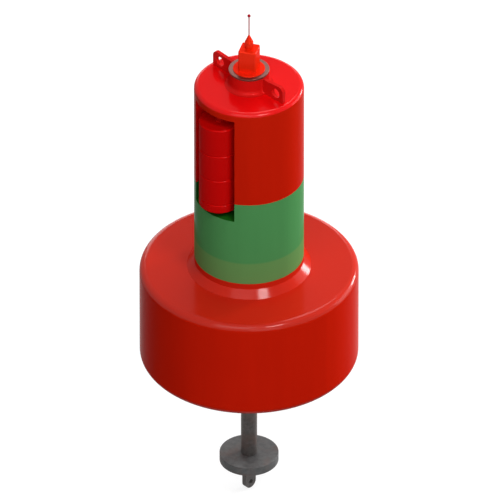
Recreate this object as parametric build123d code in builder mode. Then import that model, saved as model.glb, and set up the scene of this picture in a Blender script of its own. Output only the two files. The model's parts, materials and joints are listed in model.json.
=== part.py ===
"""Preferred-channel navigation buoy, red over green over red, with its tail and mooring eye.

Millimetres, +Z up. The origin is on the buoy's axis at its waterline. The pocket for the
radar reflector opens towards -Y, and the two lifting lugs stand on the X axis.
"""

import os
from math import cos, radians, sin

from build123d import *

os.makedirs("parts", exist_ok=True)

# Float, moulded in red polyethylene round a foam core, with a collar that carries the tower
draft = 200
float_diameter = 1200
float_height = 600
float_foot_radius = 45
float_rim_radius = 40
collar_height = 75
collar_foot_bevel = 40

# Tower, a green and a red section stacked on the float
tower_diameter = 600
green_height = 525
red_height = 600
crown_radius = 27

# Registers that centre each section on the one below
register_diameter = 170
register_height = 20
register_clearance = 1

# Pocket for the reflector, cut into both sections
pocket_floor_depth = 118
pocket_ceiling_depth = 55
pocket_corner_radius = 14

# Radar reflector, a grooved cylinder that stands proud of the tower's skin
reflector_diameter = 220
reflector_proud = 40
reflector_side_gap = 38
reflector_back_gap = 20
reflector_lift = 44
reflector_headroom = 72
reflector_cap_thickness = 12
reflector_cap_bevel = 6
reflector_foot_bevel = 4
groove_depth = 5
groove_first = 50
groove_count = 3

# Reflector stand on the pocket's floor
stand_diameter = 96
stand_plate = 6
stand_stem_diameter = 40

# Reflector bracket and stud at the top
bracket_width = 40
bracket_thickness = 5
bracket_foot_width = 132
bracket_foot_height = 52
bracket_overhang = 20
bracket_bend_radius = 8
bracket_corner_radius = 13
bracket_bolt_inset = 14
bracket_bolt_height = 34
stud_diameter = 12
stud_depth = 60
stud_end = 6
nut_across_flats = 19
nut_height = 10
small_bolt_diameter = 8
small_bolt_across_flats = 13
small_bolt_head = 5
small_bolt_length = 40

# Central tube, the steel spine from the tower's top to the tail
tube_diameter = 88.9
tube_wall = 8
tube_clearance = 1
tail_length = 665

# Flange that clamps the float from below, with its gussets and bolts
flange_diameter = 360
flange_thickness = 12
gusset_count = 6
gusset_thickness = 8
gusset_reach = 105
gusset_drop = 120
gusset_toe = 14
gusset_cope = 12
flange_bolt_count = 6
flange_bolt_circle = 300
flange_bolt_diameter = 16
flange_bolt_across_flats = 24
flange_bolt_head = 10
flange_bolt_length = 60

# Ballast disc and tail plate
ballast_diameter = 325
ballast_thickness = 50
ballast_chamfer = 1.5
tail_plate_diameter = 150
tail_plate_thickness = 16

# Mooring eye, a plate across the tail plate with its faces towards X
eye_width = 76
eye_thickness = 30
eye_hole_diameter = 28
eye_drop = 131
eye_chamfer = 1

# Pedestal, the welded pipe stub on the tower's top
pedestal_diameter = 219.1
pedestal_wall = 8
pedestal_height = 90
pedestal_floor = 12
pedestal_foot_radius = 25

# Lifting lugs, one each side of the pedestal
lug_thickness = 20
lug_edge_inset = 32
lug_hole_inset = 86.5
lug_hole_height = 46
lug_hole_diameter = 55
lug_height = 100
lug_inner_height = 88
lug_corner_radius = 32
lug_chamfer = 2

# Lantern mounting plate and lantern
mount_diameter = 222
mount_thickness = 10
mount_chamfer = 1
lantern_base_diameter = 175
lantern_base_thickness = 4
lantern_base_chamfer = 1
housing_width = 100
housing_height = 132
housing_turn = 30
housing_corner_radius = 10
housing_top_radius = 8
lens_diameter = 47
lens_wall = 42
lens_cone = 45
spike_diameter = 6.5
spike_socket = 20
spike_height = 125
ball_diameter = 18
ball_socket = 7

# Radii
float_radius = float_diameter / 2
tower_radius = tower_diameter / 2
bore_radius = tube_diameter / 2 + tube_clearance
tube_radius = tube_diameter / 2
register_radius = register_diameter / 2
reflector_radius = reflector_diameter / 2
pedestal_radius = pedestal_diameter / 2
eye_radius = eye_width / 2
lug_reach = tower_radius - lug_edge_inset
lug_hole_distance = tower_radius - lug_hole_inset

# Heights above the waterline
float_bottom = -draft
deck_top = float_bottom + float_height
collar_top = deck_top + collar_height
green_top = collar_top + green_height
tower_top = green_top + red_height
pocket_floor = green_top - pocket_floor_depth
pocket_ceiling = tower_top - pocket_ceiling_depth
reflector_bottom = pocket_floor + reflector_lift
reflector_top = pocket_ceiling - reflector_headroom
cap_bottom = reflector_top - reflector_cap_thickness
groove_pitch = (cap_bottom - reflector_bottom - groove_first) / groove_count
pedestal_top = tower_top + pedestal_height
mount_top = pedestal_top + mount_thickness
lantern_base_top = mount_top + lantern_base_thickness
housing_top = lantern_base_top + housing_height
lens_shoulder = housing_top + lens_wall
lens_top = lens_shoulder + lens_cone
ball_center = lens_top + spike_height
flange_bottom = float_bottom - flange_thickness
ballast_top = float_bottom - tail_length
ballast_bottom = ballast_top - ballast_thickness
tail_plate_bottom = ballast_bottom - tail_plate_thickness
eye_center = tail_plate_bottom - eye_drop

# The reflector's axis lies this far from the buoy's, towards -Y, and the pocket clears it
reflector_offset = tower_radius + reflector_proud - reflector_radius
pocket_back = reflector_offset - reflector_radius - reflector_back_gap
pocket_width = reflector_diameter + 2 * reflector_side_gap
reflector_axis = Axis((0, -reflector_offset, 0), (0, 0, 1))
reflector_plane = Plane((0, -reflector_offset, 0), x_dir=(1, 0, 0), z_dir=(0, -1, 0))


def cut_pocket(bottom, top):
    """Cut the pocket's plan, square at the mouth and rounded at the back, from the open part."""
    reach = tower_radius
    with BuildSketch(Plane.XY.offset(bottom)) as plan:
        with Locations((0, -pocket_back - reach / 2)):
            Rectangle(pocket_width, reach)
        fillet(plan.vertices().group_by(Axis.Y)[-1], pocket_corner_radius)
    extrude(plan.sketch, amount=top - bottom, mode=Mode.SUBTRACT)


def add_ring(bottom, height, outer_radius, inner_radius, mode=Mode.ADD):
    """Add or cut a round ring, standing on the level given, in the open part."""
    with BuildSketch(Plane.XY.offset(bottom)) as plan:
        Circle(outer_radius)
        if inner_radius > 0:
            Circle(inner_radius, mode=Mode.SUBTRACT)
    extrude(plan.sketch, amount=height, mode=mode)


def add_hexagons(plane, across_flats, height, spots):
    """Add a hexagonal head at each spot of the plane, grown along the plane's normal."""
    with BuildSketch(plane) as plan:
        with Locations(*spots):
            RegularPolygon(across_flats / 2, 6, major_radius=False)
    extrude(plan.sketch, amount=height)


def add_rods(plane, diameter, height, spots, mode=Mode.ADD):
    """Add or cut a round rod at each spot of the plane, grown along the plane's normal."""
    with BuildSketch(plane) as plan:
        with Locations(*spots):
            Circle(diameter / 2)
    extrude(plan.sketch, amount=height, mode=mode)


flange_bolt_spots = [
    (
        flange_bolt_circle / 2 * cos(radians(360 / flange_bolt_count * (i + 0.5))),
        flange_bolt_circle / 2 * sin(radians(360 / flange_bolt_count * (i + 0.5))),
    )
    for i in range(flange_bolt_count)
]

# The bracket's bolts go into the pocket's back wall, wide enough apart to pass the bore
pocket_wall = Plane((0, -pocket_back, 0), x_dir=(1, 0, 0), z_dir=(0, -1, 0))
bracket_bolt_spots = [
    (side * (bracket_foot_width / 2 - bracket_bolt_inset), reflector_top + bracket_bolt_height)
    for side in (-1, 1)
]

# Float: a turned profile with rounded rims and a collar that rises from a bevelled foot
with BuildPart() as float_body:
    with BuildSketch(Plane.XZ):
        with BuildLine():
            Line((bore_radius, float_bottom), (float_radius - float_foot_radius, float_bottom))
            CenterArc(
                (float_radius - float_foot_radius, float_bottom + float_foot_radius),
                float_foot_radius, -90, 90,
            )
            Line(
                (float_radius, float_bottom + float_foot_radius),
                (float_radius, deck_top - float_rim_radius),
            )
            CenterArc(
                (float_radius - float_rim_radius, deck_top - float_rim_radius),
                float_rim_radius, 0, 90,
            )
            Polyline(
                (float_radius - float_rim_radius, deck_top),
                (tower_radius + collar_foot_bevel, deck_top),
                (tower_radius, deck_top + collar_foot_bevel),
                (tower_radius, collar_top),
                (register_radius, collar_top),
                (register_radius, collar_top + register_height),
                (bore_radius, collar_top + register_height),
                (bore_radius, float_bottom),
            )
        make_face()
    revolve(axis=Axis.Z)
    add_rods(
        Plane.XY.offset(float_bottom),
        flange_bolt_diameter,
        flange_bolt_length - flange_thickness,
        flange_bolt_spots,
        mode=Mode.SUBTRACT,
    )

# Green tower section, with the pocket's floor
with BuildPart() as tower_green:
    add_ring(collar_top, green_height, tower_radius, bore_radius)
    add_ring(green_top, register_height, register_radius, bore_radius)
    add_ring(
        collar_top,
        register_height + register_clearance,
        register_radius + register_clearance,
        0,
        mode=Mode.SUBTRACT,
    )
    cut_pocket(pocket_floor, green_top + register_height)

# Red tower section, with the pocket's ceiling and a rounded crown
with BuildPart() as tower_red:
    add_ring(green_top, red_height, tower_radius, bore_radius)
    top_circles = tower_red.edges().filter_by(GeomType.CIRCLE).group_by(Axis.Z)[-1]
    fillet(top_circles.sort_by(Edge.radius)[-1], crown_radius)
    add_ring(
        green_top,
        register_height + register_clearance,
        register_radius + register_clearance,
        0,
        mode=Mode.SUBTRACT,
    )
    cut_pocket(green_top, pocket_ceiling)
    add_rods(
        pocket_wall,
        small_bolt_diameter,
        bracket_thickness - small_bolt_length,
        bracket_bolt_spots,
        mode=Mode.SUBTRACT,
    )

# Reflector body: a turned profile with V-shaped grooves between its bands
groove_outline = [
    (reflector_radius - depth, reflector_bottom + groove_first + i * groove_pitch + rise)
    for i in range(groove_count)
    for depth, rise in ((0, -groove_depth), (groove_depth, 0), (0, groove_depth))
]
with BuildPart() as reflector_body:
    with BuildSketch(reflector_plane):
        with BuildLine():
            Polyline(
                (0, reflector_bottom),
                (reflector_radius - reflector_foot_bevel, reflector_bottom),
                (reflector_radius, reflector_bottom + reflector_foot_bevel),
                *groove_outline,
                (reflector_radius, cap_bottom),
                (0, cap_bottom),
                close=True,
            )
        make_face()
    revolve(axis=reflector_axis)
    add_rods(
        Plane.XY.offset(cap_bottom),
        stud_diameter,
        reflector_cap_thickness - stud_depth,
        [(0, -reflector_offset)],
        mode=Mode.SUBTRACT,
    )

# Reflector cap, with a bevelled rim
with BuildPart() as reflector_cap:
    add_rods(
        Plane.XY.offset(cap_bottom),
        reflector_diameter,
        reflector_cap_thickness,
        [(0, -reflector_offset)],
    )
    chamfer(reflector_cap.edges().group_by(Axis.Z)[-1], reflector_cap_bevel)
    add_rods(
        Plane.XY.offset(cap_bottom),
        stud_diameter,
        reflector_cap_thickness,
        [(0, -reflector_offset)],
        mode=Mode.SUBTRACT,
    )

# Reflector stand: a spool between the pocket's floor and the reflector
with BuildPart() as reflector_stand:
    with BuildSketch(reflector_plane):
        with BuildLine():
            Polyline(
                (0, pocket_floor),
                (stand_diameter / 2, pocket_floor),
                (stand_diameter / 2, pocket_floor + stand_plate),
                (stand_stem_diameter / 2, pocket_floor + stand_plate),
                (stand_stem_diameter / 2, reflector_bottom - stand_plate),
                (stand_diameter / 2, reflector_bottom - stand_plate),
                (stand_diameter / 2, reflector_bottom),
                (0, reflector_bottom),
                close=True,
            )
        make_face()
    revolve(axis=reflector_axis)

# Reflector bracket: a bent strap from the stud to a wide foot on the pocket's back wall
with BuildPart() as reflector_bracket:
    with BuildSketch(Plane.YZ) as bend:
        with BuildLine():
            Polyline(
                (-reflector_offset - bracket_overhang, reflector_top),
                (-pocket_back, reflector_top),
                (-pocket_back, reflector_top + bracket_foot_height),
                (-pocket_back - bracket_thickness, reflector_top + bracket_foot_height),
                (-pocket_back - bracket_thickness, reflector_top + bracket_thickness),
                (-reflector_offset - bracket_overhang, reflector_top + bracket_thickness),
                close=True,
            )
        make_face()
        back_corner = bend.vertices().group_by(Axis.X)[-1].sort_by(Axis.Y)[0]
        fillet(back_corner, bracket_bend_radius)
    extrude(amount=bracket_width / 2, both=True)
    fillet(
        reflector_bracket.edges().filter_by(Axis.Z).group_by(Axis.Y)[0], bracket_corner_radius
    )
    with BuildSketch(pocket_wall):
        with Locations((0, reflector_top + bracket_foot_height / 2)):
            RectangleRounded(bracket_foot_width, bracket_foot_height, bracket_corner_radius)
    extrude(amount=bracket_thickness)
    add_rods(
        Plane.XY.offset(reflector_top),
        stud_diameter,
        bracket_thickness,
        [(0, -reflector_offset)],
        mode=Mode.SUBTRACT,
    )
    add_rods(
        pocket_wall,
        small_bolt_diameter,
        bracket_thickness,
        bracket_bolt_spots,
        mode=Mode.SUBTRACT,
    )

# Bracket bolts, in the pocket's back wall
bracket_face = pocket_wall.offset(bracket_thickness)
with BuildPart() as bracket_bolts:
    add_hexagons(bracket_face, small_bolt_across_flats, small_bolt_head, bracket_bolt_spots)
    add_rods(bracket_face, small_bolt_diameter, -small_bolt_length, bracket_bolt_spots)

# Reflector stud with its nut, down through the bracket and the cap
with BuildPart() as reflector_stud:
    add_rods(
        Plane.XY.offset(reflector_top + bracket_thickness + nut_height + stud_end),
        stud_diameter,
        -(stud_depth + bracket_thickness + nut_height + stud_end),
        [(0, -reflector_offset)],
    )
    add_hexagons(
        Plane.XY.offset(reflector_top + bracket_thickness),
        nut_across_flats,
        nut_height,
        [(0, -reflector_offset)],
    )

# Central tube, from the tail plate to the pedestal's floor
with BuildPart() as central_tube:
    add_ring(ballast_bottom, tower_top - ballast_bottom, tube_radius, tube_radius - tube_wall)

# Flange under the float, welded to the tube
with BuildPart() as bottom_flange:
    add_ring(flange_bottom, flange_thickness, flange_diameter / 2, tube_radius)
    add_rods(
        Plane.XY.offset(flange_bottom),
        flange_bolt_diameter,
        flange_thickness,
        flange_bolt_spots,
        mode=Mode.SUBTRACT,
    )

# Gussets between the tube and the flange, with a cope at the weld's corner
with BuildPart() as flange_gussets:
    for i in range(gusset_count):
        turn = 360 / gusset_count * i
        web = Plane.XZ.rotated((0, 0, turn))
        with BuildSketch(web):
            with BuildLine():
                Polyline(
                    (tube_radius - tube_wall / 2, flange_bottom),
                    (tube_radius + gusset_reach, flange_bottom),
                    (tube_radius + gusset_reach, flange_bottom - gusset_toe),
                    (tube_radius + gusset_toe, flange_bottom - gusset_drop),
                    (tube_radius - tube_wall / 2, flange_bottom - gusset_drop),
                    close=True,
                )
            make_face()
            with Locations((tube_radius, flange_bottom)):
                Circle(gusset_cope, mode=Mode.SUBTRACT)
        extrude(amount=gusset_thickness / 2, both=True)
    add_ring(flange_bottom - gusset_drop, gusset_drop, tube_radius, 0, mode=Mode.SUBTRACT)

# Flange bolts, up into the float's moulded bosses
with BuildPart() as flange_bolts:
    add_hexagons(
        Plane.XY.offset(flange_bottom - flange_bolt_head),
        flange_bolt_across_flats,
        flange_bolt_head,
        flange_bolt_spots,
    )
    add_rods(
        Plane.XY.offset(flange_bottom), flange_bolt_diameter, flange_bolt_length, flange_bolt_spots
    )

# Ballast disc round the tube, resting on the tail plate
with BuildPart() as ballast_disc:
    add_ring(ballast_bottom, ballast_thickness, ballast_diameter / 2, bore_radius)
    chamfer(
        ballast_disc.edges().filter_by(GeomType.CIRCLE).group_by(Edge.radius)[-1],
        ballast_chamfer,
    )

# Tail plate, welded across the tube's lower end
with BuildPart() as tail_plate:
    add_ring(tail_plate_bottom, tail_plate_thickness, tail_plate_diameter / 2, 0)

# Mooring eye: a round-ended plate with a shackle hole
with BuildPart() as mooring_eye:
    with BuildSketch(Plane.YZ):
        with Locations((0, eye_center)):
            Circle(eye_radius)
        with Locations((0, eye_center + eye_drop / 2)):
            Rectangle(eye_width, eye_drop)
        with Locations((0, eye_center)):
            Circle(eye_hole_diameter / 2, mode=Mode.SUBTRACT)
    extrude(amount=eye_thickness / 2, both=True)
    chamfer(
        mooring_eye.edges().filter_by(GeomType.CIRCLE).group_by(Edge.radius)[0],
        eye_chamfer,
    )

# Pedestal: a pipe stub with a floor and a foot that flares out to the tower's top
with BuildPart() as pedestal:
    with BuildSketch(Plane.XZ):
        with BuildLine():
            Line((0, tower_top), (pedestal_radius + pedestal_foot_radius, tower_top))
            CenterArc(
                (pedestal_radius + pedestal_foot_radius, tower_top + pedestal_foot_radius),
                pedestal_foot_radius, 180, 90,
            )
            Polyline(
                (pedestal_radius, tower_top + pedestal_foot_radius),
                (pedestal_radius, pedestal_top),
                (pedestal_radius - pedestal_wall, pedestal_top),
                (pedestal_radius - pedestal_wall, tower_top + pedestal_floor),
                (0, tower_top + pedestal_floor),
                (0, tower_top),
            )
        make_face()
    revolve(axis=Axis.Z)


def make_lug(name, turn):
    """One lifting lug, turned about the buoy's axis and cut to the pedestal's skin and foot."""
    with BuildPart() as lug:
        with BuildSketch(Plane.XZ.rotated((0, 0, turn))) as web:
            with BuildLine():
                Polyline(
                    (pedestal_radius - pedestal_wall / 2, tower_top),
                    (lug_reach, tower_top),
                    (lug_reach, tower_top + lug_height),
                    (pedestal_radius, tower_top + lug_inner_height),
                    (pedestal_radius - pedestal_wall / 2, tower_top + lug_inner_height),
                    close=True,
                )
            make_face()
            fillet(web.vertices().group_by(Axis.Y)[-1], lug_corner_radius)
            with Locations((lug_hole_distance, tower_top + lug_hole_height)):
                Circle(lug_hole_diameter / 2, mode=Mode.SUBTRACT)
        extrude(amount=lug_thickness / 2, both=True)
        chamfer(
            lug.edges().filter_by(GeomType.CIRCLE).filter_by(
                lambda edge: abs(edge.radius - lug_hole_diameter / 2) < lug_chamfer / 2
            ),
            lug_chamfer,
        )
        add(pedestal.part, mode=Mode.SUBTRACT)
    lug.part.label = name
    return lug


# Mounting plate for the lantern
with BuildPart() as mounting_plate:
    add_ring(pedestal_top, mount_thickness, mount_diameter / 2, 0)
    chamfer(mounting_plate.edges(), mount_chamfer)

# Lantern: base, turned square housing, conical lens, spike and ball
with BuildPart() as lantern_base:
    add_ring(mount_top, lantern_base_thickness, lantern_base_diameter / 2, 0)
    chamfer(lantern_base.edges().group_by(Axis.Z)[-1], lantern_base_chamfer)

with BuildPart() as lantern_housing:
    with BuildSketch(Plane.XY.offset(lantern_base_top)):
        RectangleRounded(housing_width, housing_width, housing_corner_radius, rotation=housing_turn)
    extrude(amount=housing_height)
    fillet(lantern_housing.edges().group_by(Axis.Z)[-1], housing_top_radius)

with BuildPart() as lantern_lens:
    with BuildSketch(Plane.XZ):
        with BuildLine():
            Polyline(
                (0, housing_top),
                (lens_diameter / 2, housing_top),
                (lens_diameter / 2, lens_shoulder),
                (spike_diameter / 2, lens_top),
                (spike_diameter / 2, lens_top - spike_socket),
                (0, lens_top - spike_socket),
                close=True,
            )
        make_face()
    revolve(axis=Axis.Z)

with BuildPart() as spike_rod:
    add_ring(
        lens_top - spike_socket,
        spike_socket + spike_height - ball_diameter / 2 + ball_socket,
        spike_diameter / 2,
        0,
    )

with BuildPart() as spike_ball:
    with Locations((0, 0, ball_center)):
        Sphere(ball_diameter / 2)
    add_ring(
        ball_center - ball_diameter,
        ball_diameter / 2 + ball_socket,
        spike_diameter / 2,
        0,
        mode=Mode.SUBTRACT,
    )

pieces = {
    "float_body": float_body,
    "tower_green": tower_green,
    "tower_red": tower_red,
    "reflector_body": reflector_body,
    "reflector_cap": reflector_cap,
    "reflector_stand": reflector_stand,
    "reflector_bracket": reflector_bracket,
    "bracket_bolts": bracket_bolts,
    "reflector_stud": reflector_stud,
    "central_tube": central_tube,
    "bottom_flange": bottom_flange,
    "flange_gussets": flange_gussets,
    "flange_bolts": flange_bolts,
    "ballast_disc": ballast_disc,
    "tail_plate": tail_plate,
    "mooring_eye": mooring_eye,
    "pedestal": pedestal,
    "lifting_lug_east": make_lug("lifting_lug_east", 0),
    "lifting_lug_west": make_lug("lifting_lug_west", 180),
    "mounting_plate": mounting_plate,
    "lantern_base": lantern_base,
    "lantern_housing": lantern_housing,
    "lantern_lens": lantern_lens,
    "spike_rod": spike_rod,
    "spike_ball": spike_ball,
}
for name, piece in pieces.items():
    piece.part.label = name
    export_step(piece.part, f"parts/{name}.step")
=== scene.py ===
"""Finishes, weld seams and studio for the navigation buoy.

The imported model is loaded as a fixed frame, every CAD piece gets its finish, and the weld
seams, which the frame leaves out, are added as surfaces worked out with numpy. Metres, +Z up,
origin on the buoy's axis at its waterline.
"""

import json

import bpy
import numpy as np
from bpy.props import FloatProperty, FloatVectorProperty, PointerProperty
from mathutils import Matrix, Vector

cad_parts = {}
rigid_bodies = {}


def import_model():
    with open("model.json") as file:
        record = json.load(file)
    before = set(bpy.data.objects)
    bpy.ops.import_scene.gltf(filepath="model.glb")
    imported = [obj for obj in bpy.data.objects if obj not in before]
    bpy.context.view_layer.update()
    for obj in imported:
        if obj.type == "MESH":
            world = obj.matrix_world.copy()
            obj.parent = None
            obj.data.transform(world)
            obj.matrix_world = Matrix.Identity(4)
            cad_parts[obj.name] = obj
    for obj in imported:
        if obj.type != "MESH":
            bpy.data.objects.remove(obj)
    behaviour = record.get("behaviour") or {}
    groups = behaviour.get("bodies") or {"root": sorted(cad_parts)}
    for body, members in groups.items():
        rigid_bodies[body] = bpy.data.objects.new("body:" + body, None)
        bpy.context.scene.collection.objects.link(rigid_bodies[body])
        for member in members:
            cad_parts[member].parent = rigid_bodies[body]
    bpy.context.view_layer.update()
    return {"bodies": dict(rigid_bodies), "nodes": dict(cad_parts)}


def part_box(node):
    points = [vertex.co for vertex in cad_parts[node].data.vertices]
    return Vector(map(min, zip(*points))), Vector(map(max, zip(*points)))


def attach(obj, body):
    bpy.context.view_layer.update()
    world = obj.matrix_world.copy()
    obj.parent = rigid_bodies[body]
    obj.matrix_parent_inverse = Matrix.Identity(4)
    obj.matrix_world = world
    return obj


bl_info = {
    "name": "Navigation buoy finish",
    "version": (1, 0, 0),
    "blender": (4, 5, 0),
    "location": "3D View > Sidebar > Buoy",
    "description": "Dresses the navigation buoy's frame and sets up its studio",
    "category": "Object",
}

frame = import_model()
nodes = frame["nodes"]

MM = 0.001
BODY = next(iter(frame["bodies"]))

# Places that the frame's boxes show
float_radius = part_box("float_body")[1].x
tower_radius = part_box("tower_red")[1].x
tower_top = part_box("pedestal")[0].z
collar_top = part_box("tower_green")[0].z
tube_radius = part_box("central_tube")[1].x
flange_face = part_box("bottom_flange")[0].z
gusset_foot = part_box("flange_gussets")[0].z
gusset_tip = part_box("flange_gussets")[1].x
tail_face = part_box("tail_plate")[0].z
eye_half_thickness, eye_half_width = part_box("mooring_eye")[1].xy
lug_half_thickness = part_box("lifting_lug_east")[1].y
pedestal_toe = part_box("pedestal")[1].x

# Counts and sizes that the boxes don't show
GUSSETS = 6
GUSSET_HALF_THICKNESS = 4 * MM
GUSSET_COPE = 12 * MM
PEDESTAL_FLARE = 25 * MM
FLOAT_RIM = 40 * MM
CROWN_RIM = 27 * MM
LUG_INNER_HEIGHT = 88 * MM

# A seam starts past a cope and stops short of an edge
COPE_MARGIN = 1 * MM
EDGE_MARGIN = 2 * MM

UP = np.array([0.0, 0.0, 1.0])
DOWN = -UP


def linear(hex_colour):
    """Linear RGB from an sRGB hex string such as "c81e14"."""
    channels = [int(hex_colour[i:i + 2], 16) / 255 for i in (0, 2, 4)]
    return tuple(c / 12.92 if c <= 0.04045 else ((c + 0.055) / 1.055) ** 2.4 for c in channels)


def colour_property(name, hex_colour, description):
    """A colour setting whose default is the hex value given."""
    return FloatVectorProperty(
        name=name, description=description, subtype="COLOR", size=3, min=0, max=1,
        default=linear(hex_colour),
    )


def length_property(name, millimetres, description):
    """A length setting whose default is given in millimetres."""
    return FloatProperty(
        name=name, description=description, default=millimetres * MM, min=0.1 * MM, max=20,
        unit="LENGTH",
    )


class BuoyColours(bpy.types.PropertyGroup):
    """Colours of the buoy's finishes."""

    float_red: colour_property("Float red", "cf1d08", "Moulded red of the float's side wall")
    deck_red: colour_property("Deck red", "c82513", "Moulded red of the float's deck and collar")
    # The top's own clearer red, also used in the pocket, where its lightness is painted light
    # against the shade
    crown_red_pocket_lift: colour_property("Crown red", "e80b0d", "Clearer red of the tower's top and pocket")
    tower_red: colour_property("Tower red", "c81d08", "Moulded red of the tower's wall")
    tower_green: colour_property("Tower green", "509456", "Moulded green of the lower tower")
    # Painted shade: the green inside the pocket is darkened where its floor lies in shade
    pocket_shade_green: colour_property("Pocket green", "185c14", "Deeper green inside the pocket")
    # Painted reflection: a paler green band at the green's foot stands in for the deck mirrored
    # there
    painted_reflection_green: colour_property("Spray mark", "769956", "Dried spray at the foot of the green")
    reflector_red: colour_property("Reflector red", "c20605", "Moulded case of the reflector")
    enamel_red: colour_property("Enamel red", "ce1614", "Enamel of the pedestal and the lugs")
    lantern_red: colour_property("Lantern red", "e82a0e", "Moulded lantern housing and lens")
    spike_red: colour_property("Spike red", "a80c20", "Coated rod and ball above the lantern")
    # Painted reflection: red of the enamel and hull round the plate is mixed into its grey
    plate_grey_red_reflection: colour_property("Plate grey", "664039", "Cast plate under the lantern")
    tail_grey: colour_property("Tail grey", "565250", "Weathered galvanising of the tail")
    ballast_grey: colour_property("Ballast grey", "575858", "Cast iron of the ballast disc")
    rust_brown: colour_property("Rust brown", "5c4740", "Rust that shows through the zinc")
    steel_grey: colour_property("Steel grey", "b4b2ae", "Bright stainless bolts")
    floor_grey: colour_property("Floor grey", "8a8a8a", "Floor, which the camera sees as white")


class BuoySizes(bpy.types.PropertyGroup):
    """Sizes of what is added to the frame, and of the studio."""

    weld_leg: length_property("Weld leg", 6, "Leg of the fillet welds")
    weld_ripple: length_property("Weld ripple", 5, "Pitch of the ripples along a weld")
    # Height of the band of painted reflection at the green's foot
    painted_reflection_height: length_property("Spray height", 134, "Height of the dried spray's band")
    photo_width: length_property("Picture width", 2733.2, "Real width that the camera takes in")
    lens: FloatProperty(
        name="Lens", description="Focal length, long so that the view is all but parallel",
        default=1700, min=50, max=1700,
    )


def settings():
    """The scene's colours and sizes."""
    return bpy.context.scene.buoy_colours, bpy.context.scene.buoy_sizes


# Materials

# Gloss skins: the streaks that rain leaves, their squeeze in height and how far they shift the
# colour, the rim's fade as a share of its width, the mirror film's roughness, the shade of a
# metallic sheen towards its edge, and the ripple
STREAK_MM = 70
STREAK_SQUEEZE = 0.12
STREAK_SHIFT = 0.06
RIM_FADE = 0.2
FILM_ROUGHNESS = 0.15
SHEEN_SHADE = 0.8
RIPPLE_DEPTH = 0.3 * MM
RIPPLE_STRENGTH = 0.02

# The wall's finish starts at this depth under its skin and is full a little further out. The
# wall mirrors only at a glance: its sheen is full where it is seen edge-on, and falls off as
# this power of how far it faces away
WALL_DEPTH = 2 * MM
WALL_FADE = 1 * MM
WALL_SHEEN = 0.4
GLANCE_POWER = 5

# The painted reflection's upper edge is soft over this height both ways, and its band covers half
REFLECTION_EDGE = 6 * MM
REFLECTION_COVER = 0.5

# Weathered metal: the noise at which its spots are darkest and lightest, the noise at which
# rust starts and is full, the rust's broad patches, how much of the metal they hide, how much
# smoother and rougher it gets in places, and its pits
SPOT_DARK = 0.32
SPOT_LIGHT = 0.68
RUST_START = 0.5
RUST_FULL = 0.68
RUST_PATCH_MM = 110
RUST_COVER = 0.7
WEATHERED_SMOOTHER = 0.1
WEATHERED_ROUGHER = 0.15
PIT_MM = 5
PIT_DEPTH = 0.8 * MM
PIT_STRENGTH = 0.35

# Satin metal: its clouds, their darkest and lightest shade, how much smoother and rougher they
# are, and how metallic it is
CLOUD_MM = 9
CLOUD_DARK = 0.85
CLOUD_LIGHT = 1.1
SATIN_SMOOTHER = 0.06
SATIN_ROUGHER = 0.08
SATIN_METALLIC = 0.9


def add_node(tree, kind, attributes=None, inputs=None):
    """Add a shader node, set its attributes, and set or link each input that is given."""
    node = tree.nodes.new(kind)
    for key, value in (attributes or {}).items():
        setattr(node, key, value)
    for key, value in (inputs or {}).items():
        if isinstance(value, bpy.types.NodeSocket):
            tree.links.new(value, node.inputs[key])
        else:
            node.inputs[key].default_value = value
    return node


def new_material(name):
    """An empty node material with its output, and the object's coordinates."""
    material = bpy.data.materials.new(name)
    material.use_nodes = True
    tree = material.node_tree
    tree.nodes.clear()
    output = add_node(tree, "ShaderNodeOutputMaterial")
    place = add_node(tree, "ShaderNodeTexCoord").outputs["Object"]
    return material, tree, output, place


def grain(size_mm):
    """Noise scale whose features are about the size given, on coordinates in metres."""
    return 1 / (size_mm * MM)


def shade(colour, factor):
    """The colour made darker or lighter by a factor, with alpha."""
    return tuple(min(1, c * factor) for c in colour) + (1,)


def axis_distance(tree, place):
    """How far a place lies from the buoy's axis."""
    flat = add_node(tree, "ShaderNodeVectorMath", {"operation": "MULTIPLY"}, {
        0: place, 1: (1, 1, 0)})
    return add_node(tree, "ShaderNodeVectorMath", {"operation": "LENGTH"}, {
        0: flat.outputs["Vector"]}).outputs["Value"]


def handled_rim(tree, place, distance, radius, coat, rim):
    """Coat inside a wall of that radius: the rounded rim, handled until it shines, has its own."""
    width, lowest, rim_coat = rim
    rounded = add_node(tree, "ShaderNodeMapRange", inputs={
        "Value": distance, "From Min": radius - width,
        "From Max": radius - (1 - RIM_FADE) * width})
    height = add_node(tree, "ShaderNodeSeparateXYZ", inputs={0: place}).outputs["Z"]
    above = add_node(tree, "ShaderNodeMath", {"operation": "GREATER_THAN"}, {
        0: height, 1: lowest})
    polished = add_node(tree, "ShaderNodeMath", {"operation": "MULTIPLY"}, {
        0: rounded.outputs["Result"], 1: above.outputs["Value"]})
    return add_node(tree, "ShaderNodeMapRange", inputs={
        "Value": polished.outputs["Value"], "To Min": coat,
        "To Max": rim_coat}).outputs["Result"]


def glancing_sheen(tree, sheen):
    """Coat of a rubbed wall, which mirrors only where it is seen at a glance."""
    glance = add_node(tree, "ShaderNodeLayerWeight", inputs={"Blend": 0.5})
    rubbed = add_node(tree, "ShaderNodeMath", {"operation": "POWER"}, {
        0: glance.outputs["Facing"], 1: GLANCE_POWER})
    return add_node(tree, "ShaderNodeMath", {"operation": "MULTIPLY"}, {
        0: rubbed.outputs["Value"], 1: sheen}).outputs["Value"]


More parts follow.
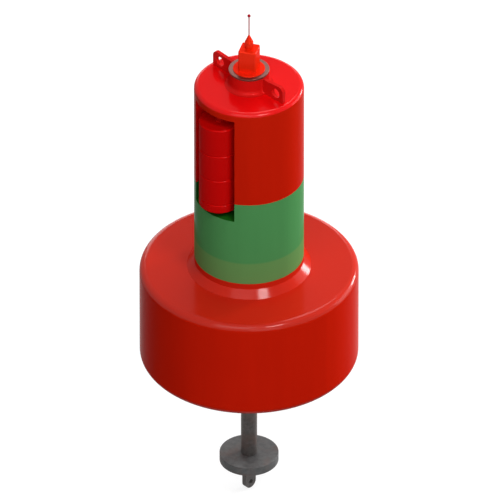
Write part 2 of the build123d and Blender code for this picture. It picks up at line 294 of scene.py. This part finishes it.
def gloss_skin(
        name, colour, coat, wall=None, rim=None, painted_reflection=None, ripple_mm=14, metallic=0.0,
        roughness=0.2):
    """Glossy moulded or enamelled skin: deep colour under a thin mirror film.

    Colour drifts by a few percent in upright streaks, as rain leaves them, and a very shallow
    ripple keeps the reflections from being perfect. A real skin ripples every 2 to 3 mm, which
    is too fine to show, so it is drawn coarser. A share of metallic keeps the sheen in the
    skin's own colour. A wall (colour, radius, sheen) takes over at that distance from the
    buoy's axis. A rim (width, lowest, coat) is the rounded edge inside the wall, above its
    lowest height. A painted reflection (colour, top) tints what lies below that height: a
    paler band that stands in for the deck mirrored in the wall.
    """
    material, tree, output, place = new_material(name)
    wall_colour, wall_radius, wall_sheen = wall or (colour, 0, coat)
    upright = add_node(tree, "ShaderNodeVectorMath", {"operation": "MULTIPLY"}, {
        0: place, 1: (1, 1, STREAK_SQUEEZE)})
    streaks = add_node(tree, "ShaderNodeTexNoise", inputs={
        "Vector": upright.outputs["Vector"], "Scale": grain(STREAK_MM), "Detail": 3,
        "Roughness": 0.5})
    tone = add_node(tree, "ShaderNodeMix", {"data_type": "RGBA"}, {
        0: streaks.outputs["Fac"], 6: shade(wall_colour, 1 - STREAK_SHIFT),
        7: shade(wall_colour, 1 + STREAK_SHIFT)}).outputs[2]
    mirror = coat
    if wall:
        distance = axis_distance(tree, place)
        outside = add_node(tree, "ShaderNodeMapRange", inputs={
            "Value": distance, "From Min": wall_radius - WALL_DEPTH,
            "From Max": wall_radius - WALL_DEPTH + WALL_FADE}).outputs["Result"]
        tone = add_node(tree, "ShaderNodeMix", {"data_type": "RGBA"}, {
            0: outside, 6: shade(colour, 1), 7: tone}).outputs[2]
        if rim:
            mirror = handled_rim(tree, place, distance, wall_radius, coat, rim)
        mirror = add_node(tree, "ShaderNodeMapRange", inputs={
            "Value": outside, "To Min": mirror,
            "To Max": glancing_sheen(tree, wall_sheen)}).outputs["Result"]
    # Painted reflection: below its top the tone turns paler, as the deck mirrored in the wall
    if painted_reflection:
        reflection_colour, reflection_top = painted_reflection
        height = add_node(tree, "ShaderNodeSeparateXYZ", inputs={0: place}).outputs["Z"]
        band = add_node(tree, "ShaderNodeMapRange", inputs={
            "Value": height, "From Min": reflection_top - REFLECTION_EDGE,
            "From Max": reflection_top + REFLECTION_EDGE, "To Min": REFLECTION_COVER, "To Max": 0.0})
        tone = add_node(tree, "ShaderNodeMix", {"data_type": "RGBA"}, {
            0: band.outputs["Result"], 6: tone, 7: shade(reflection_colour, 1)}).outputs[2]
    ripple = add_node(tree, "ShaderNodeTexNoise", inputs={
        "Vector": place, "Scale": grain(ripple_mm), "Detail": 1})
    bump = add_node(tree, "ShaderNodeBump", inputs={
        "Height": ripple.outputs["Fac"], "Strength": RIPPLE_STRENGTH,
        "Distance": RIPPLE_DEPTH})
    skin = add_node(tree, "ShaderNodeBsdfPrincipled", inputs={
        "Base Color": tone, "Metallic": metallic, "Roughness": roughness,
        "Specular IOR Level": 0, "Specular Tint": shade(colour, SHEEN_SHADE),
        "Coat Weight": mirror, "Coat Roughness": FILM_ROUGHNESS,
        "Normal": bump.outputs["Normal"], "Coat Normal": bump.outputs["Normal"]})
    tree.links.new(skin.outputs["BSDF"], output.inputs["Surface"])
    return material


def weathered_metal(name, colour, rust, spot_mm, contrast, metallic, roughness):
    """Dull metal with a mottle of light and dark spots and rust in broad patches.

    Real spots are 5 to 10 mm across and pits 1 mm. Both are drawn coarser, so that they show.
    """
    material, tree, output, place = new_material(name)
    mottle = add_node(tree, "ShaderNodeTexNoise", inputs={
        "Vector": place, "Scale": grain(spot_mm), "Detail": 6, "Roughness": 0.65})
    ramp = add_node(tree, "ShaderNodeMapRange", inputs={
        "Value": mottle.outputs["Fac"], "From Min": SPOT_DARK, "From Max": SPOT_LIGHT})
    spots = add_node(tree, "ShaderNodeMix", {"data_type": "RGBA"}, {
        0: ramp.outputs["Result"], 6: shade(colour, 1 - contrast), 7: shade(colour, 1 + contrast)})
    patch = add_node(tree, "ShaderNodeTexNoise", inputs={
        "Vector": place, "Scale": grain(RUST_PATCH_MM), "Detail": 4, "Roughness": 0.6})
    bleed = add_node(tree, "ShaderNodeMapRange", inputs={
        "Value": patch.outputs["Fac"], "From Min": RUST_START, "From Max": RUST_FULL,
        "To Max": RUST_COVER})
    tone = add_node(tree, "ShaderNodeMix", {"data_type": "RGBA"}, {
        0: bleed.outputs["Result"], 6: spots.outputs[2], 7: shade(rust, 1)})
    rough = add_node(tree, "ShaderNodeMapRange", inputs={
        "Value": mottle.outputs["Fac"], "To Min": roughness - WEATHERED_SMOOTHER,
        "To Max": roughness + WEATHERED_ROUGHER})
    pits = add_node(tree, "ShaderNodeTexNoise", inputs={
        "Vector": place, "Scale": grain(PIT_MM), "Detail": 4})
    bump = add_node(tree, "ShaderNodeBump", inputs={
        "Height": pits.outputs["Fac"], "Strength": PIT_STRENGTH, "Distance": PIT_DEPTH})
    metal = add_node(tree, "ShaderNodeBsdfPrincipled", inputs={
        "Base Color": tone.outputs[2], "Metallic": metallic,
        "Roughness": rough.outputs["Result"], "Normal": bump.outputs["Normal"]})
    tree.links.new(metal.outputs["BSDF"], output.inputs["Surface"])
    return material


def satin_metal(name, colour, roughness):
    """Clean metal with the faint cloudiness of a cast or rolled face.

    Its real grain is well under 1 mm, so it is drawn coarser.
    """
    material, tree, output, place = new_material(name)
    clouds = add_node(tree, "ShaderNodeTexNoise", inputs={
        "Vector": place, "Scale": grain(CLOUD_MM), "Detail": 5})
    tone = add_node(tree, "ShaderNodeMix", {"data_type": "RGBA"}, {
        0: clouds.outputs["Fac"], 6: shade(colour, CLOUD_DARK), 7: shade(colour, CLOUD_LIGHT)})
    rough = add_node(tree, "ShaderNodeMapRange", inputs={
        "Value": clouds.outputs["Fac"], "To Min": roughness - SATIN_SMOOTHER,
        "To Max": roughness + SATIN_ROUGHER})
    metal = add_node(tree, "ShaderNodeBsdfPrincipled", inputs={
        "Base Color": tone.outputs[2], "Metallic": SATIN_METALLIC,
        "Roughness": rough.outputs["Result"]})
    tree.links.new(metal.outputs["BSDF"], output.inputs["Surface"])
    return material


def dress(material, *names):
    """Give the CAD nodes named the material, in every slot."""
    for name in names:
        data = nodes[name].data
        data.materials.clear()
        data.materials.append(material)


# Surfaces

# Faces that meet at more than this angle keep a sharp edge
SHARP_ANGLE = np.radians(50)

# Points along one ripple of a weld, across its face, and the fewest along a whole one
RIPPLE_POINTS = 6
FACE_POINTS = 9
FEWEST_POINTS = 8

# A weld's shape as shares of its leg: the face's crown, the ripples on it, how deep root and
# toes are sunk, and what is left of its size at an open end
WELD_CROWN = 0.14
WELD_SWELL = 0.12
WELD_ROOT = 0.08
WELD_TIP = 0.06

# How far a ripple lags at the toes, as a share of its pitch
TOE_LAG = 0.6


def unit(vectors):
    """Each vector at length one."""
    return vectors / np.linalg.norm(vectors, axis=-1, keepdims=True)


def swept_shell(stations, loop):
    """Points and triangles of a closed profile that is carried along a path.

    `stations` holds one ring of points for each place on the path. Neighbours on the profile
    and on the path share a quad, cut in two. An open path gets a fan at each end. The faces
    are turned over where the volume that they close comes out negative.
    """
    rings, points = stations.shape[:2]
    index = np.arange(rings * points).reshape(rings, points)
    here, after = index, np.roll(index, -1, axis=0)
    if not loop:
        here, after = here[:-1], after[:-1]
    beside, corner = np.roll(here, -1, axis=1), np.roll(after, -1, axis=1)
    faces = [
        np.stack([here, beside, corner], axis=-1).reshape(-1, 3),
        np.stack([here, corner, after], axis=-1).reshape(-1, 3),
    ]
    if not loop:
        rim = np.arange(1, points - 1)
        fan = np.stack([0 * rim, rim + 1, rim], axis=1)
        faces += [index[0][fan], index[-1][fan[:, ::-1]]]
    faces = np.concatenate(faces)
    spots = stations.reshape(-1, 3)
    a, b, c = (spots[faces[:, k]] - spots.mean(axis=0) for k in range(3))
    volume = (a * np.cross(b, c)).sum()
    return spots, faces if volume > 0 else faces[:, ::-1]


def turned(shell, angle):
    """A shell turned about the buoy's axis by an angle in radians."""
    spots, faces = shell
    c, s = np.cos(angle), np.sin(angle)
    return spots @ np.array([[c, s, 0], [-s, c, 0], [0, 0, 1]]), faces


def add_piece(name, shells, material):
    """One object at the origin out of several closed shells, fixed to the buoy's body."""
    starts = np.cumsum([0] + [len(spots) for spots, _ in shells[:-1]])
    spots = np.concatenate([spots for spots, _ in shells])
    faces = np.concatenate([faces + start for (_, faces), start in zip(shells, starts)])
    mesh = bpy.data.meshes.new(name)
    mesh.from_pydata(spots.tolist(), [], faces.tolist())
    mesh.polygons.foreach_set("use_smooth", np.ones(len(faces), bool))
    mesh.set_sharp_from_angle(angle=SHARP_ANGLE)
    mesh.materials.append(material)
    piece = bpy.data.objects.new(name, mesh)
    bpy.context.scene.collection.objects.link(piece)
    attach(piece, BODY)


def evenly(table, guide, spacing):
    """The table's rows at even spacing along a guide, which has one point for each row."""
    steps = np.linalg.norm(np.diff(guide, axis=0), axis=1)
    along = np.concatenate([[0], np.cumsum(steps)])
    places = np.linspace(0, along[-1], max(FEWEST_POINTS, int(along[-1] / spacing)))
    return np.stack([np.interp(places, along, column) for column in table.T], axis=1)


def bead(path, side_a, side_b, leg, ripple, loop=False):
    """A fillet weld in the corner `path`, between two faces that leave it along two sides.

    Over its face, u from 0 to 1, a point is corner + leg ((1 - u) A + u B), pushed out along
    A + B by leg (crown + swell |sin(pi phase)|) sin(pi u). The phase counts ripples along the
    weld and lags towards its toes, so that each ripple is a crescent. Root and toes are sunk
    a little into the metal, and an open weld shrinks over its last leg at both ends.
    """
    middle = path + leg * (side_a + side_b) / 2
    steps = np.linalg.norm(np.roll(middle, -1, axis=0) - middle, axis=1)
    along = np.cumsum(steps) - steps
    length = steps.sum() if loop else along[-1]
    u = np.linspace(0, 1, FACE_POINTS)
    phase = along[:, None] / length * round(length / ripple) + TOE_LAG * (2 * u - 1) ** 2
    swell = (WELD_CROWN + WELD_SWELL * np.abs(np.sin(np.pi * phase))) * np.sin(np.pi * u)
    end = 1.0 if loop else np.clip(np.minimum(along, length - along) / leg, WELD_TIP, 1)
    size = (leg * np.sqrt(end * (2 - end)) * np.ones(len(path)))[:, None, None]
    a, b = side_a[:, None, :], side_b[:, None, :]
    corner = path[:, None, :]
    share = u[None, :, None]
    face = corner + size * ((1 - share) * a + share * b + swell[:, :, None] * unit(a + b))
    sunk = WELD_ROOT * size
    face[:, :1] -= sunk * b
    face[:, -1:] -= sunk * a
    return swept_shell(np.concatenate([corner - sunk * (a + b), face], axis=1), loop)


def straight_bead(start, stop, side_a, side_b, leg, ripple):
    """A fillet weld from start to stop, with the same two sides all the way."""
    start, stop = np.array(start), np.array(stop)
    count = max(FEWEST_POINTS, int(np.linalg.norm(stop - start) / (ripple / RIPPLE_POINTS)))
    path = start + np.linspace(0, 1, count)[:, None] * (stop - start)
    sides = (np.broadcast_to(np.array(side, float), path.shape) for side in (side_a, side_b))
    return bead(path, *sides, leg, ripple)


# Operators

# The angle at which the pedestal's flare is clear of the tower's top, and the points that
# follow the flare and a corner's turn
FLARE_START = np.radians(8)
FLARE_POINTS = 24
TURN_POINTS = 10


class BUOY_OT_hull(bpy.types.Operator):
    """Finish the float and the two tower sections"""

    bl_idname = "buoy.hull"
    bl_label = "Hull"

    def execute(self, context):
        colours, sizes = settings()
        # Rotomoulded polyethylene: even, deep colour and a soft mirror sheen on the faces
        # that rain washes, with a duller, rubbed side wall and rims that hands have polished
        red = gloss_skin(
            "Rotomoulded polyethylene red float", colours.deck_red, coat=0.2,
            wall=(colours.float_red, float_radius, WALL_SHEEN), rim=(FLOAT_RIM, 0, 0.34))
        upper = gloss_skin(
            # Top and pocket share the crown red; in the pocket its lightness is painted light
            "Rotomoulded polyethylene red tower", colours.crown_red_pocket_lift, coat=0.22,
            wall=(colours.tower_red, tower_radius, WALL_SHEEN),
            rim=(CROWN_RIM, tower_top - CROWN_RIM, 0.32))
        green = gloss_skin(
            # Inside the pocket the green is darkened as painted shade
            "Rotomoulded polyethylene green tower", colours.pocket_shade_green, coat=0.06,
            wall=(colours.tower_green, tower_radius, WALL_SHEEN),
            # Paler band at the foot: painted reflection of the deck
            painted_reflection=(colours.painted_reflection_green, collar_top + sizes.painted_reflection_height))
        dress(red, "float_body")
        dress(upper, "tower_red")
        dress(green, "tower_green")
        return {"FINISHED"}


class BUOY_OT_reflector(bpy.types.Operator):
    """Finish the radar reflector and what holds it"""

    bl_idname = "buoy.reflector"
    bl_label = "Radar reflector"

    def execute(self, context):
        colours, _ = settings()
        # Injection-moulded polycarbonate, weathered: smooth and even, with little mirror left
        case = gloss_skin(
            "Injection moulded reflector case", colours.reflector_red, coat=0.03,
            metallic=0.1, roughness=0.4)
        # Powder-coated steel: an even film that hides the metal's grain
        strap = gloss_skin(
            "Powder coated strap", colours.enamel_red, coat=0.08, ripple_mm=10, metallic=0.1,
            roughness=0.3)
        dress(case, "reflector_body", "reflector_cap", "reflector_stand")
        dress(strap, "reflector_bracket", "bracket_bolts", "reflector_stud")
        return {"FINISHED"}


class BUOY_OT_head(bpy.types.Operator):
    """Finish the pedestal, the lugs and the lantern's plate, and weld the lugs on"""

    bl_idname = "buoy.head"
    bl_label = "Pedestal and lugs"

    def execute(self, context):
        colours, sizes = settings()
        # Sprayed enamel on welded steel: a soft gloss with a little orange peel
        enamel = gloss_skin(
            "Sprayed enamel on steel", colours.enamel_red, coat=0.08, ripple_mm=10,
            metallic=0.1, roughness=0.3)
        # Cast aluminium: satin and slightly cloudy; its grey carries a painted red reflection
        plate = satin_metal("Cast aluminium plate", colours.plate_grey_red_reflection, roughness=0.35)
        dress(enamel, "pedestal", "lifting_lug_east", "lifting_lug_west")
        dress(plate, "mounting_plate")

        # Each seam climbs the pedestal's skin: the flare's quarter circle, from where it is
        # clear of the tower's top, then the pipe itself up to the lug's inner top. Columns
        # are the skin's radius and height and the way off it, as radius and height too
        turn = np.linspace(FLARE_START, np.pi / 2, FLARE_POINTS)
        flare = np.stack([
            pedestal_toe - PEDESTAL_FLARE * np.sin(turn), PEDESTAL_FLARE * (1 - np.cos(turn)),
            np.sin(turn), np.cos(turn)], axis=1)
        end = (pedestal_toe - PEDESTAL_FLARE, LUG_INNER_HEIGHT - EDGE_MARGIN, 1.0, 0.0)
        skin = np.concatenate([flare, [end]])
        radius, height, off_radius, off_height = evenly(
            skin, skin[:, :2], sizes.weld_ripple / RIPPLE_POINTS).T
        level = 0 * radius
        out = np.sqrt(radius ** 2 - lug_half_thickness ** 2)
        seams = []
        for side in (-1, 1):
            path = np.stack([
                out, level + side * lug_half_thickness, tower_top + height], axis=1)
            over_lug = unit(np.stack([off_radius, level, off_height], axis=1))
            round_pipe = unit(np.stack([level - lug_half_thickness, side * out, level], axis=1))
            seam = bead(path, over_lug, round_pipe, sizes.weld_leg, sizes.weld_ripple)
            seams += [seam, turned(seam, np.pi)]
        add_piece("lug_welds", seams, enamel)
        return {"FINISHED"}


class BUOY_OT_lantern(bpy.types.Operator):
    """Finish the lantern and the spike above it"""

    bl_idname = "buoy.lantern"
    bl_label = "Lantern"

    def execute(self, context):
        colours, _ = settings()
        # Injection-moulded polycarbonate: bright red that stays deep in its sheen
        case = gloss_skin(
            "Injection moulded lantern case", colours.lantern_red, coat=0.08, ripple_mm=8,
            metallic=0.25, roughness=0.2)
        # Plastic-coated steel: crimson, with a soft gloss
        spike = gloss_skin(
            "Plastic coated steel spike", colours.spike_red, coat=0.1, ripple_mm=8,
            metallic=0.1, roughness=0.2)
        dress(case, "lantern_base", "lantern_housing", "lantern_lens")
        dress(spike, "spike_rod", "spike_ball")
        return {"FINISHED"}


class BUOY_OT_tail(bpy.types.Operator):
    """Finish the tube, flange, ballast and mooring eye, and add their weld seams"""

    bl_idname = "buoy.tail"
    bl_label = "Tail"

    def execute(self, context):
        colours, sizes = settings()
        # Hot-dip galvanised steel after years in the sea: dull, mottled, rust bleeding through
        zinc = weathered_metal(
            "Galvanised steel weathered", colours.tail_grey, colours.rust_brown, spot_mm=22,
            contrast=0.36, metallic=0.3, roughness=0.6)
        # Sand-cast iron: rough and grey, with a coarser mottle
        iron = weathered_metal(
            "Cast iron ballast", colours.ballast_grey, colours.rust_brown, spot_mm=26,
            contrast=0.34, metallic=0.1, roughness=0.7)
        # Rolled stainless steel: bright and satin
        bright = satin_metal("Stainless steel bolts", colours.steel_grey, roughness=0.3)
        dress(zinc, "central_tube", "bottom_flange", "flange_gussets", "tail_plate", "mooring_eye")
        dress(iron, "ballast_disc")
        dress(bright, "flange_bolts")

        leg, ripple = sizes.weld_leg, sizes.weld_ripple
        spacing = ripple / RIPPLE_POINTS

        # Ring seam between the tube and the flange, behind the gussets' copes
        turn = np.linspace(0, 2 * np.pi, int(2 * np.pi * tube_radius / spacing), endpoint=False)
        outward = np.stack([np.cos(turn), np.sin(turn), 0 * turn], axis=1)
        ring = tube_radius * outward + flange_face * UP
        seams = [bead(ring, outward, DOWN + 0 * ring, leg, ripple, loop=True)]

        # Two seams down the tube and two along the flange for the first gusset, and the same
        # for each other one
        foot = np.sqrt(tube_radius ** 2 - GUSSET_HALF_THICKNESS ** 2)
        first = []
        for side in (-1, 1):
            edge = side * GUSSET_HALF_THICKNESS
            round_tube = unit(np.array([-GUSSET_HALF_THICKNESS, side * foot, 0]))
            first.append(straight_bead(
                (foot, edge, flange_face - GUSSET_COPE - COPE_MARGIN),
                (foot, edge, gusset_foot + EDGE_MARGIN),
                (1, 0, 0), round_tube, leg, ripple))
            first.append(straight_bead(
                (tube_radius + GUSSET_COPE + COPE_MARGIN, edge, flange_face),
                (gusset_tip - EDGE_MARGIN, edge, flange_face),
                (0, side, 0), DOWN, leg, ripple))
        for angle in 2 * np.pi / GUSSETS * np.arange(GUSSETS):
            seams += [turned(seam, angle) for seam in first]
        add_piece("flange_welds", seams, zinc)

        # Seam round the eye's root: each corner of the rectangle is a spot where the way out
        # turns by a quarter, so the spacing is kept at the weld's outer toe
        turn = np.linspace(0, np.pi / 2, TURN_POINTS) + np.pi / 2 * np.arange(4)[:, None]
        outward = np.stack([np.cos(turn), np.sin(turn), 0 * turn], axis=-1)
        signs = np.array([(1, 1), (-1, 1), (-1, -1), (1, -1)])
        corners = signs * (eye_half_thickness, eye_half_width)
        places = np.broadcast_to(
            np.column_stack([corners, np.full(4, tail_face)])[:, None, :], outward.shape)
        table = np.concatenate([places, outward], axis=-1).reshape(-1, 6)
        table = np.concatenate([table, table[:1]])
        table = evenly(table, table[:, :3] + leg * table[:, 3:], spacing)[:-1]
        path, outward = table[:, :3], unit(table[:, 3:])
        root = bead(path, outward, DOWN + 0 * path, leg, ripple, loop=True)
        add_piece("eye_weld", [root], zinc)
        return {"FINISHED"}


# The camera looks from an isometric drawing's direction, azimuth and elevation in degrees,
# at a point beside the buoy's axis, so that the buoy stands a little left of the middle
ISOMETRIC = (-45.0, 35.264)
VIEW_CENTRE = (0.0037, 0.0037, 0.4915)

# Width of the camera's sensor in millimetres, where its view starts, in metres, and where it
# ends, as times its distance
SENSOR_WIDTH = 36
VIEW_START = 1.0
VIEW_END = 3.0

# The surroundings' own light, what the floor is lifted by for the rays that see it, and how far
# it reaches each way in metres
SKY_LIGHT = 0.15
FLOOR_LIFT = 0.82
FLOOR_REACH = 30.0

# All lamps stand at one distance: azimuth and elevation in degrees, width and height in
# metres, power in watts
LAMP_DISTANCE = 12.0
LAMPS = (
    ("Key", -13, 51, 3.0, 0.9, 480),
    ("Front softbox", -60, 45, 7.0, 7.0, 440),
    ("Low front softbox", -30, 12, 6.0, 6.0, 160),
    ("Rim", 83.5, 12, 2.2, 2.2, 860),
    ("Right rear softbox", 65, 12, 7.0, 7.0, 480),
    ("Left rear softbox", 140, 12, 8.0, 8.0, 720),
    ("High rear softbox", 120, 58, 5.0, 5.0, 340),
)


def towards(azimuth, elevation):
    """Unit vector from the buoy towards an azimuth and an elevation in degrees."""
    a, e = np.radians(azimuth), np.radians(elevation)
    return Vector((np.cos(a) * np.cos(e), np.sin(a) * np.cos(e), np.sin(e)))


def add_lamp(name, azimuth, elevation, width, height, power, aim):
    """A rectangular area lamp that looks at the aim."""
    lamp = bpy.data.lights.new(name, "AREA")
    lamp.shape = "RECTANGLE"
    lamp.size, lamp.size_y = width, height
    lamp.energy = power
    holder = bpy.data.objects.new(name, lamp)
    bpy.context.scene.collection.objects.link(holder)
    direction = towards(azimuth, elevation)
    holder.location = aim + direction * LAMP_DISTANCE
    holder.rotation_euler = direction.to_track_quat("Z", "Y").to_euler()


def seen_ray(tree):
    """1 for rays from the camera and for mirrored and refracted ones, 0 for lighting rays."""
    path = add_node(tree, "ShaderNodeLightPath")
    seen = add_node(tree, "ShaderNodeMath", {"operation": "MAXIMUM"}, {
        0: path.outputs["Is Camera Ray"], 1: path.outputs["Is Glossy Ray"]})
    return add_node(tree, "ShaderNodeMath", {"operation": "MAXIMUM"}, {
        0: seen.outputs["Value"], 1: path.outputs["Is Transmission Ray"]}).outputs["Value"]


class BUOY_OT_stage(bpy.types.Operator):
    """Set up the camera, the lamps, the white surroundings and the floor"""

    bl_idname = "buoy.stage"
    bl_label = "Studio"

    def execute(self, context):
        colours, sizes = settings()
        scene = context.scene
        scene.view_settings.view_transform = "Standard"

        camera = bpy.data.cameras.new("Camera")
        camera.lens = sizes.lens
        camera.sensor_width = SENSOR_WIDTH
        holder = bpy.data.objects.new("Camera", camera)
        scene.collection.objects.link(holder)
        scene.camera = holder
        back = towards(*ISOMETRIC)
        aim = Vector(VIEW_CENTRE)
        distance = sizes.photo_width * sizes.lens / SENSOR_WIDTH
        holder.location = aim + back * distance
        holder.rotation_mode = "QUATERNION"
        holder.rotation_quaternion = (-back).to_track_quat("-Z", "Y")
        camera.clip_start = VIEW_START
        camera.clip_end = distance * VIEW_END

        for lamp in LAMPS:
            add_lamp(*lamp, aim)

        world = bpy.data.worlds.new("Studio white")
        scene.world = world
        world.use_nodes = True
        tree = world.node_tree
        tree.nodes.clear()
        strength = add_node(tree, "ShaderNodeMapRange", inputs={
            "Value": seen_ray(tree), "To Min": SKY_LIGHT, "To Max": 1.0})
        sky = add_node(tree, "ShaderNodeBackground", inputs={
            "Color": (1, 1, 1, 1), "Strength": strength.outputs["Result"]})
        output = add_node(tree, "ShaderNodeOutputWorld")
        tree.links.new(sky.outputs["Background"], output.inputs["Surface"])

        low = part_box("mooring_eye")[0].z
        corners = np.array([(-1, -1), (1, -1), (1, 1), (-1, 1)]) * FLOOR_REACH
        mesh = bpy.data.meshes.new("Floor")
        mesh.from_pydata([(x, y, low) for x, y in corners], [], [(0, 1, 2, 3)])
        floor = bpy.data.objects.new("Floor", mesh)
        scene.collection.objects.link(floor)
        material, tree, output, _ = new_material("Painted floor white")
        lift = add_node(tree, "ShaderNodeMapRange", inputs={
            "Value": seen_ray(tree), "To Min": 0.0, "To Max": FLOOR_LIFT})
        matt = add_node(tree, "ShaderNodeBsdfPrincipled", inputs={
            "Base Color": shade(colours.floor_grey, 1), "Roughness": 0.9,
            "Specular IOR Level": 0, "Emission Color": (1, 1, 1, 1),
            "Emission Strength": lift.outputs["Result"]})
        tree.links.new(matt.outputs["BSDF"], output.inputs["Surface"])
        mesh.materials.append(material)
        return {"FINISHED"}


class BUOY_PT_panel(bpy.types.Panel):
    """The buoy's steps and settings"""

    bl_idname = "BUOY_PT_panel"
    bl_label = "Navigation buoy"
    bl_space_type = "VIEW_3D"
    bl_region_type = "UI"
    bl_category = "Buoy"

    def draw(self, context):
        for step in STEPS:
            self.layout.operator(step.bl_idname)
        for group in (context.scene.buoy_colours, context.scene.buoy_sizes):
            for name in group.__annotations__:
                self.layout.prop(group, name)


STEPS = (
    BUOY_OT_stage,
    BUOY_OT_hull,
    BUOY_OT_reflector,
    BUOY_OT_head,
    BUOY_OT_lantern,
    BUOY_OT_tail,
)
GROUPS = (BuoyColours, BuoySizes)


def register():
    """Register the settings, the steps and the panel."""
    for item in (*GROUPS, *STEPS, BUOY_PT_panel):
        bpy.utils.register_class(item)
    bpy.types.Scene.buoy_colours = PointerProperty(type=BuoyColours)
    bpy.types.Scene.buoy_sizes = PointerProperty(type=BuoySizes)


def unregister():
    """Take everything out again."""
    del bpy.types.Scene.buoy_sizes
    del bpy.types.Scene.buoy_colours
    for item in reversed((*GROUPS, *STEPS, BUOY_PT_panel)):
        bpy.utils.unregister_class(item)


def main():
    """Dress the buoy step by step."""
    register()
    bpy.ops.buoy.stage()
    bpy.ops.buoy.hull()
    bpy.ops.buoy.reflector()
    bpy.ops.buoy.head()
    bpy.ops.buoy.lantern()
    bpy.ops.buoy.tail()


if __name__ == "__main__":
    main()
